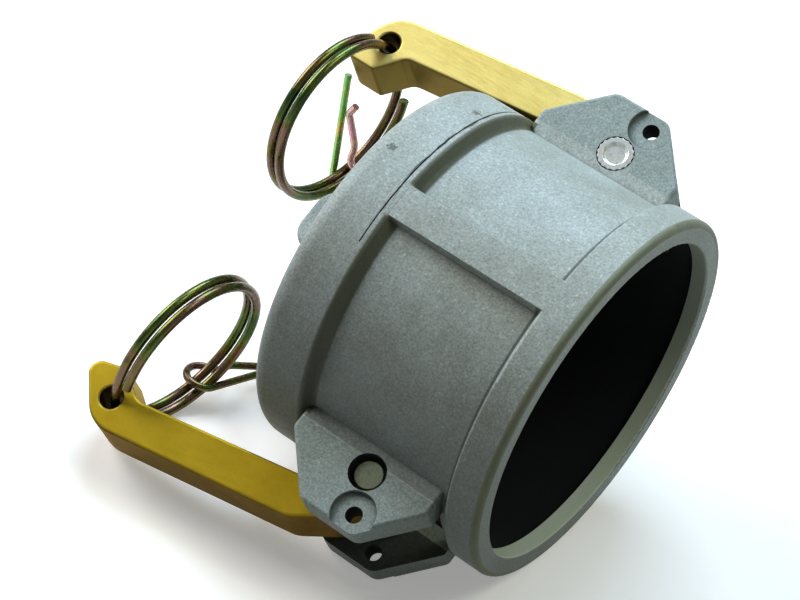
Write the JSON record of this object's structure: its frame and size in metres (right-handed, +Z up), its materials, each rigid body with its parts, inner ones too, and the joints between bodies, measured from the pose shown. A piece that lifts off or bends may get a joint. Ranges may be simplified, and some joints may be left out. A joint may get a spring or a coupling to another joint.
{
  "type": "camlock dust cap",
  "caption": "Cast aluminium camlock dust cap: deep round cup with ribs and ears, gold cam arms on pins, split rings and hairpin clips.",
  "frame": {"origin": "centre of the cup's mouth, on the cup's axis", "axes": "+X out of the mouth along the cup's axis, +Z up with the cap lying on its rim and lower ears, +Y level"},
  "size_m": [0.0801, 0.0947, 0.0724],
  "materials": {
    "cast_aluminium": "as cast, fine grained",
    "satin_brass": "cast, tumbled to a satin gold",
    "bright_steel": "bright",
    "zinc_wire": "yellow zinc plated",
    "black_rubber": "matt"
  },
  "bodies": {
    "body": {"body": "cast_aluminium", "gasket": "black_rubber", "upper_pin": "bright_steel", "lower_pin": "bright_steel"},
    "upper_arm": {"upper_arm": "satin_brass"},
    "lower_arm": {"lower_arm": "satin_brass"},
    "upper_ring": {"upper_ring": "zinc_wire"},
    "lower_ring": {"lower_ring": "zinc_wire"},
    "upper_clip": {"upper_clip": "zinc_wire"},
    "lower_clip": {"lower_clip": "zinc_wire"}
  },
  "joints": [
    {"name": "upper_arm_pivot", "type": "hinge", "parent": "body", "child": "upper_arm", "pos_m": [-0.0215, 0.03018, 0.01962], "axis": [0, 0.545, -0.8384], "range_deg": [0, 100]},
    {"name": "lower_arm_pivot", "type": "hinge", "parent": "body", "child": "lower_arm", "pos_m": [-0.0215, -0.03018, -0.01962], "axis": [0, -0.545, 0.8384], "range_deg": [-6, 85]},
    {"name": "upper_ring_swing", "type": "hinge", "parent": "upper_arm", "child": "upper_ring", "pos_m": [-0.0731, 0.02918, 0.01897], "axis": [0, 0.545, -0.8384], "range_deg": [-10, 100]},
    {"name": "lower_ring_swing", "type": "hinge", "parent": "lower_arm", "child": "lower_ring", "pos_m": [-0.07136, -0.04136, -0.02688], "axis": [0, -0.545, 0.8384], "range_deg": [-8, 90]},
    {"name": "upper_clip_swing", "type": "hinge", "parent": "upper_ring", "child": "upper_clip", "pos_m": [-0.07283, 0.0216, -0.00623], "axis": [0.0698, 0.9868, -0.1459], "range_deg": [-20, 0]},
    {"name": "lower_clip_swing", "type": "hinge", "parent": "lower_ring", "child": "lower_clip", "pos_m": [-0.06971, -0.01875, -0.03149], "axis": [0.0582, 0.1055, 0.9927], "range_deg": [-10, 0]}
  ]
}
